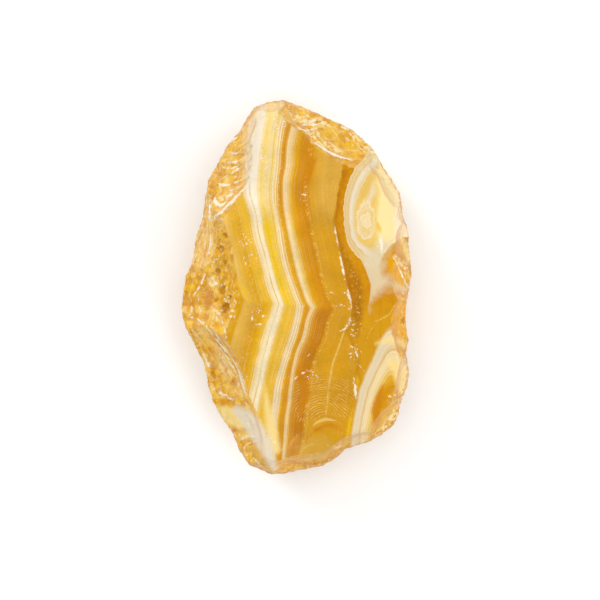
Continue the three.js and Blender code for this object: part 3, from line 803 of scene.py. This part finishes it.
class Wiring:
    """Short calls for building a material's nodes."""

    def __init__(self, name):
        self.material = bpy.data.materials.new(name)
        self.material.use_nodes = True
        self.tree = self.material.node_tree
        self.shader = self.tree.nodes["Principled BSDF"]
        self.place = self.node("ShaderNodeTexCoord", {}, "Object").scaled(1 / MM)

    def feed(self, socket, value):
        if isinstance(value, Level):
            self.tree.links.new(value.socket, socket)
        else:
            socket.default_value = value

    def node(self, kind, inputs, output=0, **settings):
        """One output of a new node, whose inputs are levels or numbers."""
        made = self.tree.nodes.new(kind)
        for key, value in settings.items():
            setattr(made, key, value)
        for key, value in inputs.items():
            self.feed(made.inputs[key], value)
        return Level(self, made.outputs[output])

    def compute(self, operation, *values):
        return self.node("ShaderNodeMath", dict(enumerate(values)), operation=operation)

    def largest(self, *levels):
        total = levels[0]
        for level in levels[1:]:
            total = self.compute("MAXIMUM", total, level)
        return total

    def field(self, name):
        return self.node("ShaderNodeAttribute", {}, "Fac", attribute_name=name)

    def mark(self, name, ragged, low, high, strength):
        """How strongly a mark covers what is under it, with a ragged soft edge."""
        return (self.field(name) + ragged).step(low, high) * strength

    def blend(self, share, under, over):
        return self.node("ShaderNodeMix", {0: share, 6: under, 7: over}, 2, data_type="RGBA")

    def ramp(self, value, stops):
        """Tones, or levels from 0 to 1, along a value."""
        low, high = min(stops), max(stops)
        run = self.node("ShaderNodeMapRange", {0: value, 1: low, 2: high})
        made = self.node("ShaderNodeValToRGB", {0: run})
        elements = made.socket.node.color_ramp.elements
        while len(elements) < len(stops):
            elements.new(0.5)
        for element, (place, tone) in zip(elements, stops.items()):
            element.position = (place - low) / (high - low)
            element.color = srgb(*TONES[tone]) if tone in TONES else (tone, tone, tone, 1.0)
        return made

    def grain(self, scale, detail=2.0, roughness=0.5, place=None):
        inputs = {"Vector": place or self.place, "Scale": scale, "Detail": detail, "Roughness": roughness}
        return self.node("ShaderNodeTexNoise", inputs)

    def wobble(self, scale, strength, detail=2.0, roughness=0.5):
        """Grain that goes both ways from 0."""
        return (self.grain(scale, detail, roughness) - 0.5) * strength

    def stripes(self, value, scale, detail=2.0):
        inputs = {"W": value, "Scale": scale, "Detail": detail}
        return self.node("ShaderNodeTexNoise", inputs, noise_dimensions="1D")


# The stone's tones, as screen levels
TONES = {
    "white": (248, 238, 218), "vanilla": (255, 238, 203), "ivory": (236, 224, 198),
    "milk": (242, 225, 186), "primrose": (253, 230, 166), "cream": (240, 216, 164),
    "chalk": (229, 212, 178), "sand": (234, 206, 157), "butter": (244, 214, 133),
    "bone": (227, 204, 160), "wheat": (230, 200, 143), "honeyed": (238, 200, 108),
    "dough": (223, 189, 126), "straw": (239, 200, 84), "biscuit": (231, 192, 100),
    "tan": (228, 181, 84), "toast": (214, 171, 94), "corn": (231, 184, 62), "lemon": (237, 193, 40),
    "dune": (219, 170, 72), "brass": (226, 174, 46), "sun": (231, 174, 15), "ochre": (213, 156, 42),
    "honey": (219, 162, 14), "amber": (214, 149, 8), "deep": (208, 140, 5), "rust": (197, 128, 6),
}
# Tones along the bands, above the middle, in the middle and below the bend
UPPER_BANDS = {
    -8.0: "tan", -1.4: "corn", -0.9: "cream", -0.4: "white", 0.9: "white",
    1.4: "butter", 2.2: "butter", 2.8: "cream", 3.2: "straw", 3.6: "cream",
    4.0: "cream", 4.5: "tan", 5.1: "amber", 5.9: "deep", 6.3: "dune", 6.7: "sand",
    7.2: "sand", 7.7: "tan", 8.3: "honey", 9.2: "deep", 10.3: "deep", 10.9: "deep",
    11.2: "ochre", 13.0: "dune",
}
MIDDLE_BANDS = {
    -8.0: "honey", -6.3: "honey", -5.9: "brass", -5.5: "biscuit", -4.9: "tan",
    -4.2: "brass", -3.1: "honey", -2.8: "brass", -2.4: "corn", -1.3: "corn",
    -0.8: "cream", -0.3: "milk", 0.7: "milk", 1.0: "straw", 1.5: "lemon", 2.4: "lemon",
    2.9: "straw", 3.2: "corn", 3.6: "butter", 4.0: "milk", 4.35: "sand", 4.8: "sun",
    5.3: "honey", 6.0: "honey", 6.4: "sand", 7.0: "cream", 7.4: "biscuit", 7.9: "honey",
    8.7: "amber", 10.2: "deep", 10.5: "ochre", 13.0: "ochre",
}
LOWER_BANDS = {
    -8.0: "dune", -6.5: "honey", -6.0: "honey", -5.6: "tan", -4.4: "dune",
    -3.3: "ochre", -2.3: "honey", -1.9: "brass", -1.2: "corn", -0.8: "cream",
    -0.3: "milk", 0.6: "milk", 1.0: "honeyed", 1.4: "corn", 2.9: "corn", 3.2: "brass",
    3.5: "sand", 4.1: "chalk", 4.4: "wheat", 4.7: "sand", 5.1: "brass", 5.6: "amber",
    6.4: "amber", 6.8: "wheat", 7.2: "sand", 7.5: "dune", 8.0: "deep", 9.2: "rust",
    10.0: "rust", 10.6: "ochre", 13.0: "ochre",
}
# How clearly fine layers show along the bands, from 0 to 1
LAYERED = {
    -8.0: 0.05, -6.0: 0.1, -5.5: 0.3, -4.5: 0.1, -2.5: 0.2, -1.0: 0.5, 0.0: 0.9, 0.9: 0.7,
    1.4: 0.15, 2.4: 0.2, 3.0: 0.6, 4.5: 0.8, 5.2: 0.15, 6.2: 0.1, 6.8: 0.4, 7.6: 0.2,
    8.6: 0.08, 13.0: 0.04,
}
# How speckled the bands are
SPECKLED = {
    -8.0: 0.3, -6.4: 0.1, -4.0: 0.0, -3.4: 0.4, -2.0: 0.0, 4.6: 0.0, 5.0: 0.7, 5.7: 0.0,
    10.0: 0.0, 10.5: 0.8, 11.0: 0.0, 13.0: 0.0,
}
# Down the right side of the tan bands' edge, by height over the bend
BEYOND_EDGE = {
    -27.0: "brass", -16.0: "honey", -10.0: "ochre", -5.0: "ochre", -1.0: "ochre",
    4.0: "deep", 9.0: "amber", 14.0: "deep", 24.0: "rust", 26.0: "brass",
}
# Inward from the eye's border, outward over its core, and to the right of that
EYE_RINGS = {
    0.0: "cream", 0.12: "wheat", 0.3: "dough", 0.55: "sand", 0.75: "dough",
    0.95: "bone", 1.15: "ivory", 1.6: "chalk", 1.85: "sand", 2.0: "biscuit",
    2.5: "biscuit", 6.0: "honeyed",
}
CORE_RINGS = {
    0.0: "milk", 0.35: "cream", 0.5: "milk", 0.62: "honeyed", 0.72: "cream",
    0.85: "sand", 1.0: "milk", 1.1: "honeyed", 1.6: "honeyed",
}
EYE_ACROSS = {
    1.0: "butter", 1.7: "butter", 2.4: "primrose", 3.2: "primrose", 4.4: "primrose",
    5.2: "vanilla", 6.5: "vanilla", 8.0: "primrose",
}
# Inward from the border of the fold
FOLD_RINGS = {
    -0.5: "ochre", -0.15: "dough", 0.0: "bone", 0.6: "chalk", 1.0: "sand",
    1.12: "toast", 1.3: "cream", 1.9: "cream", 2.3: "honeyed", 2.7: "brass",
    3.4: "amber", 4.2: "brass", 6.0: "honeyed",
}
AMBER = srgb(248, 196, 46)
ORANGE = srgb(232, 164, 14)
PALE = srgb(236, 223, 198)
BUTTER = srgb(250, 222, 146)
DEEP = srgb(207, 134, 6)
BROWN = srgb(182, 122, 12)
FLANK = srgb(228, 210, 174)
GOLD = srgb(240, 192, 40)
GOLDEN = srgb(242, 184, 24)
HONEY = srgb(236, 170, 16)
FROST = srgb(253, 229, 172)
# white of frosted crests, beads and foam, and of painted highlights: glints and specks
WHITE_AND_GLINT = srgb(252, 240, 214)
TAN = srgb(216, 168, 70)
STREAK = srgb(240, 204, 124)
SHADED = srgb(200, 128, 6)
LAYER_LIGHT = srgb(247, 232, 200)
LAYER_SHADE = srgb(230, 184, 90)
EYE_LIGHT = srgb(241, 228, 200)
EYE_SHADE = srgb(228, 188, 112)
FOLD_LIGHT = srgb(241, 229, 202)
FOLD_SHADE = srgb(224, 182, 104)
FOLD_AMBER = srgb(212, 146, 14)
BEYOND_LIGHT = srgb(218, 162, 26)
BEYOND_SHADE = srgb(196, 126, 6)
# Stains: name, where the edge starts and ends, strength and colour
UNDER_STAINS = (("tan", -0.5, 0.7, 0.75, TAN), ("butter", -0.5, 0.6, 0.9, BUTTER))
STAINS = (
    ("pale", -0.6, 0.7, 0.9, PALE), ("deep", -0.3, 0.4, 0.85, DEEP), ("gold", -0.25, 0.3, 0.8, GOLD),
    ("honey", -0.3, 0.4, 0.85, HONEY),
)
CHIP_SWIRL = 2.2  # how far the outlines of small chips are bent


def banded_colour(w):
    """The bands, with fine layers in them, as they run down the middle of the stone."""
    above = w.field("above")
    band = w.field("band") + (w.wobble(0.3, 0.35) + w.wobble(2.2, 0.07))
    colour = w.blend(above.step(12.0, 18.0), w.ramp(band, MIDDLE_BANDS), w.ramp(band, UPPER_BANDS))
    colour = w.blend(above.step(0.6, -0.6), colour, w.ramp(band, LOWER_BANDS))
    layers = w.stripes(band, 3.2, 1.0)
    layered = w.ramp(band, LAYERED) * (w.grain(0.25).step(0.35, 0.6) + 0.4)
    colour = w.blend(layers.step(0.5, 0.34) * (layered * 0.75), colour, LAYER_SHADE)
    colour = w.blend(layers.step(0.5, 0.66) * (layered * 0.8), colour, LAYER_LIGHT)
    speckled = w.ramp(band, SPECKLED) * w.grain(2.4, 3.0, 0.6).step(0.52, 0.62)
    colour = w.blend(speckled * 0.8, colour, STREAK)
    return colour.scaled(w.wobble(0.32, 0.4, 3.0) + 1.0 + w.wobble(3.2, 0.32, 3.0, 0.6))


def eye_colour(w, inward):
    """The round eye: rings along its border, a scalloped core, and plain pale yellow at its right."""
    rings = w.ramp(inward, EYE_RINGS)
    lines = w.stripes(inward, 7.0)
    lined = inward.step(2.6, 1.8)
    rings = w.blend(lines.step(0.54, 0.66) * 0.5 * lined, rings, EYE_LIGHT)
    rings = w.blend(lines.step(0.47, 0.32) * 0.45 * lined, rings, EYE_SHADE)
    core = w.field("core") + w.wobble(0.75, 1.0, 4.0, 0.6)
    eye = w.blend(core.step(1.5, 1.1), rings, w.ramp(core, CORE_RINGS))
    across = w.field("across") + w.wobble(0.5, 1.6)
    return w.blend(across.step(0.7, 2.4) * inward.step(1.6, 2.4), eye, w.ramp(across, EYE_ACROSS))


def fold_colour(w, fold):
    """The folded eye: cream rings inside its border, with fine lines in them, and amber within."""
    folded = w.ramp(fold, FOLD_RINGS)
    lines = w.stripes(fold, 6.0)
    lined = fold.step(3.6, 1.6)
    folded = w.blend(lines.step(0.52, 0.68) * 0.6 * lined, folded, FOLD_LIGHT)
    folded = w.blend(lines.step(0.46, 0.3) * 0.5 * lined, folded, FOLD_SHADE)
    return w.blend(w.grain(0.45, 3.0).step(0.42, 0.62) * 0.6 * fold.step(2.4, 3.4), folded, FOLD_AMBER)


def beyond_colour(w):
    """The brown and amber stone between the edge of the tan bands and the eyes."""
    beyond = w.ramp(w.field("above"), BEYOND_EDGE)
    beyond = w.blend(w.grain(1.1, 4.0, 0.65).step(0.42, 0.62) * 0.5, beyond, BEYOND_LIGHT)
    streaked = w.stripes(w.field("across") + w.grain(0.4) * 2.0, 1.6, 3.0)
    return w.blend(streaked.step(0.5, 0.35) * 0.25, beyond, BEYOND_SHADE)


def chipping(w):
    """Small chips of the rough breaks: a level for each chip, and how close its edge is."""
    swirl = w.node("ShaderNodeTexNoise", {"Vector": w.place, "Scale": 0.9, "Detail": 3.0}, "Color")
    bent = w.node("ShaderNodeVectorMath", {0: w.place, 1: swirl.scaled(CHIP_SWIRL)}, operation="ADD")
    chips = {"Vector": bent, "Scale": 0.85}
    level = w.node("ShaderNodeSeparateColor", {0: w.node("ShaderNodeTexVoronoi", chips, "Color")})
    edge = w.node("ShaderNodeTexVoronoi", chips, "Distance", feature="DISTANCE_TO_EDGE")
    return level, edge.step(0.09, 0.02)


def facet_colour(w, level):
    """Plain stone between frosted places on the breaks: clear amber, each chip a little different."""
    tone = w.blend(w.grain(0.45, 4.0, 0.6).step(0.38, 0.62), AMBER, ORANGE)
    tone = w.blend(level.step(0.5, 0.1) * 0.65, tone, DEEP)
    tone = w.blend(level.step(0.7, 1.0) * 0.5, tone, BUTTER)
    return w.blend(w.grain(0.9, 4.0, 0.6).step(0.52, 0.68) * 0.35, tone, SHADED)


def stained(w, colour, ragged, stains):
    for name, low, high, strength, tone in stains:
        colour = w.blend(w.mark(name, ragged, low, high, strength), colour, tone)
    return colour


def stone_colour(w, level):
    """Everything that is colour: bands, eyes, marks and plain breaks, and painted shade on the steep sides.
    """
    edge = w.field("tan_edge") + w.wobble(1.3, 0.8, 4.0, 0.6)
    colour = w.blend(edge.step(-0.03, 0.08), banded_colour(w), beyond_colour(w))
    brown = w.mark("brown", w.wobble(1.4, 1.6, 4.0, 0.7), -0.6, 0.7, 0.85)
    colour = w.blend(brown, colour, BROWN)
    colour = w.blend(brown * w.grain(2.0, 4.0, 0.7).step(0.55, 0.65), colour, STREAK)

    wavy = w.wobble(1.0, 0.5)
    inward = w.field("inward") + wavy
    colour = w.blend(inward.step(-0.02, 0.06), colour, eye_colour(w, inward))
    fold = w.field("fold") + wavy * 0.5
    colour = w.blend(fold.step(-0.4, 0.0), colour, fold_colour(w, fold))

    # painted light and shade: light and dark arcs where the shell break has fine ripples
    arcs = w.compute("SINE", (w.field("shell") + w.grain(0.8, 3.0) * 2.2) * (2 * math.pi))
    patchy = w.field("shell_mark").step(-0.8, 0.6) * w.grain(1.3, 3.0).step(0.38, 0.6)
    colour = w.blend(arcs.step(0.1, 0.95) * (patchy * 0.55), colour, STREAK)
    colour = w.blend(arcs.step(0.0, -0.9) * (patchy * 0.45), colour, SHADED)

    colour = w.blend(w.field("amber"), colour, facet_colour(w, level))
    ragged = w.wobble(2.0, 0.6, 3.0)
    colour = stained(w, colour, ragged, UNDER_STAINS)
    flank = w.mark("flank", w.wobble(0.5, 2.4, 3.0) + ragged, -1.2, 1.3, 0.9)
    colour = w.blend(flank * w.field("flank_edge").step(-0.08, 0.12), colour, FLANK)
    colour = stained(w, colour, ragged, STAINS)
    colour = w.blend(w.mark("vein", ragged * 0.25, -0.1, 0.08, 0.7), colour, STREAK)
    # painted shade: where the surface is steep, far from level, the colour darkens to deep amber
    return w.blend(w.field("level").step(0.5, 0.1) * 0.7, colour, DEEP)


def frosting(w, chip_edge, fibres, flecks, hollows, rippled):
    """How frosted the surface is: on crests, ridges, chips and fine lines of the breaks."""
    frost = w.field("frost")
    veiled = (fibres + flecks * 0.5 + w.grain(0.35, 3.0)).step(1.0, 1.35) * 0.4
    sharp = (fibres + flecks * 0.25).step(0.68, 0.75)
    fibrous = w.largest(veiled, sharp, chip_edge * flecks.step(0.44, 0.6)) * frost
    crests = hollows.step(0.3, 0.0) * flecks.step(0.44, 0.56) * rippled
    marked = w.field("frost_mark").step(-0.3, 0.4) * flecks.step(0.44, 0.58)
    rim = w.field("rim") * flecks.step(0.55, 0.62) * 0.7
    ridge = w.field("ridge").step(0.35, 0.9) * flecks.step(0.44, 0.58) * 0.7
    crest = w.field("crest").step(0.1, 0.28) * (w.field("broken") * 0.7)
    pallid = frost.step(0.6, 1.0) * 0.22
    return w.largest(fibrous, pallid, crests * 0.85, marked, rim, ridge, crest)


def white_marks_and_glints(w, flecks):
    """Where the colour is almost white: sharp crests, beads and foam of the stone, and painted highlights:
    glints where it sparkles, and fine specks.
    """
    crests = w.mark("crest_mark", w.wobble(1.3, 0.9, 4.0, 0.7), -0.04, 0.12, 0.95)
    glints = w.grain(2.2).step(0.6, 0.66) * w.field("sparkle").step(0.3, 0.8)
    dots = w.node("ShaderNodeTexVoronoi", {"Vector": w.place, "Scale": 1.9}, "Distance")
    specks = dots.step(0.12, 0.06) * (flecks.step(0.52, 0.62) * 0.6)
    beads = w.field("bead").step(0.3, 0.8) * 0.9
    foam = w.grain(1.8, 3.0, 0.7).step(0.58, 0.64) * (w.field("hollow") * 0.9)
    sharp = w.field("crest").step(0.16, 0.4) * 0.7
    return w.largest(crests, glints, specks, beads, foam, sharp)


def stone_material():
    w = Wiring("onyx")
    level, chip_edge = chipping(w)
    rays = w.node("ShaderNodeCombineXYZ", {0: w.field("spread") * 5.0, 1: w.field("blow") * 0.07})
    fibres = w.grain(2.0, 4.0, 0.6, rays)
    flecks = w.grain(1.3, 4.0, 0.62)
    hollows = w.compute("ABSOLUTE", w.compute("SINE", w.field("phase") * math.pi))
    rippled = w.field("ripple").step(0.0, 0.06)
    frosted = frosting(w, chip_edge, fibres, flecks, hollows, rippled)
    whitened = white_marks_and_glints(w, flecks)
    frost, hollow = w.field("frost"), w.field("hollow")
    dark = (fibres + flecks * 0.25).step(0.6, 0.5) * (frost + w.field("rim") * 0.5)
    colour = w.blend(dark * 0.55, stone_colour(w, level), SHADED)
    colour = w.blend(frosted * 0.9, colour, FROST)
    colour = w.blend(hollow * 0.6, colour, GOLDEN)
    crystals = w.grain(1.1, 3.0, 0.6).step(0.54, 0.44) * hollow
    colour = w.blend(crystals * 0.42, colour, BROWN)
    # painted shade in hollows: where the skin bends inward at the broader scale, the colour darkens
    colour = w.blend(w.field("bend").step(-0.02, -0.08) * 0.6, colour, SHADED)

    fine = w.grain(7.0, 3.0, 0.6) * (w.field("broken") * 0.25 + 0.15)
    relief = (fibres + flecks + level * 0.8) * frost + fine
    relief = relief - hollows * rippled * 0.4 + whitened * 0.5
    finish = {
        "Base Color": w.blend(whitened, colour, WHITE_AND_GLINT),
        "Roughness": w.grain(1.7, 3.0) * 0.15 + 0.26 + frosted * 0.25,
        "Normal": w.node("ShaderNodeBump", {"Strength": 0.8, "Distance": 0.1 * MM, "Height": relief}),
        "IOR": 1.5,
        "Specular IOR Level": 0.17,
        "Subsurface Weight": 0.25,
        "Subsurface Radius": (1.0, 0.6, 0.2),
        "Subsurface Scale": 0.7 * MM,
    }
    for name, value in finish.items():
        w.feed(w.shader.inputs[name], value)
    return w.material


def floor_material():
    material = bpy.data.materials.new("pale_floor")
    material.use_nodes = True
    inputs = material.node_tree.nodes["Principled BSDF"].inputs
    inputs["Base Color"].default_value = (0.94, 0.94, 0.94, 1)
    inputs["Roughness"].default_value = 0.7
    inputs["Specular IOR Level"].default_value = 0.2
    return material


# The setting

def add_floor():
    half = 1.5  # metres
    mesh = bpy.data.meshes.new("floor")
    corners = [(-half, -half, 0), (half, -half, 0), (half, half, 0), (-half, half, 0)]
    mesh.from_pydata(corners, [], [(0, 1, 2, 3)])
    mesh.materials.append(floor_material())
    add_object("floor", mesh)


def add_camera():
    data = bpy.data.cameras.new("camera")
    data.sensor_width = SENSOR_WIDTH
    data.lens = SENSOR_WIDTH * (CAMERA_HEIGHT - OUTLINE_LEVEL) / VIEW_WIDTH
    data.clip_start = 0.01
    camera = add_object("camera", data)
    camera.location = (CAMERA_OVER[0] * MM, CAMERA_OVER[1] * MM, CAMERA_HEIGHT * MM)
    bpy.context.scene.camera = camera


def add_soft_light(name, place, size, power, in_reflections=True):
    """A square soft light, in metres and watts, turned to the stone."""
    data = bpy.data.lights.new(name, "AREA")
    data.size = size
    data.energy = power
    light = add_object(name, data)
    light.location = place
    light.rotation_euler = (-Vector(place)).to_track_quat("-Z", "Y").to_euler()
    light.visible_glossy = in_reflections


def add_light():
    world = bpy.data.worlds.new("studio")
    world.use_nodes = True
    background = world.node_tree.nodes["Background"]
    background.inputs["Color"].default_value = (1, 1, 1, 1)
    background.inputs["Strength"].default_value = 0.7
    world.cycles_visibility.glossy = False
    bpy.context.scene.world = world
    bpy.context.scene.view_settings.view_transform = "Standard"
    add_soft_light("overhead", (0.0, 0.1, 1.4), 1.4, 4.8, in_reflections=False)
    add_soft_light("key", (-0.45, 0.45, 0.42), 0.3, 2.5)
    add_soft_light("side", (0.55, 0.2, 0.28), 0.4, 0.9, in_reflections=False)
    add_soft_light("fill", (0.42, -0.42, 0.4), 0.35, 1.4)


def build():
    add_camera()
    add_floor()
    add_light()
    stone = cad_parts["onyx_stone"]
    skin = stone_skin(stone)
    skin.data.materials.clear()
    skin.data.materials.append(stone_material())
    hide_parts("onyx_stone")
    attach(skin, "root")


build()
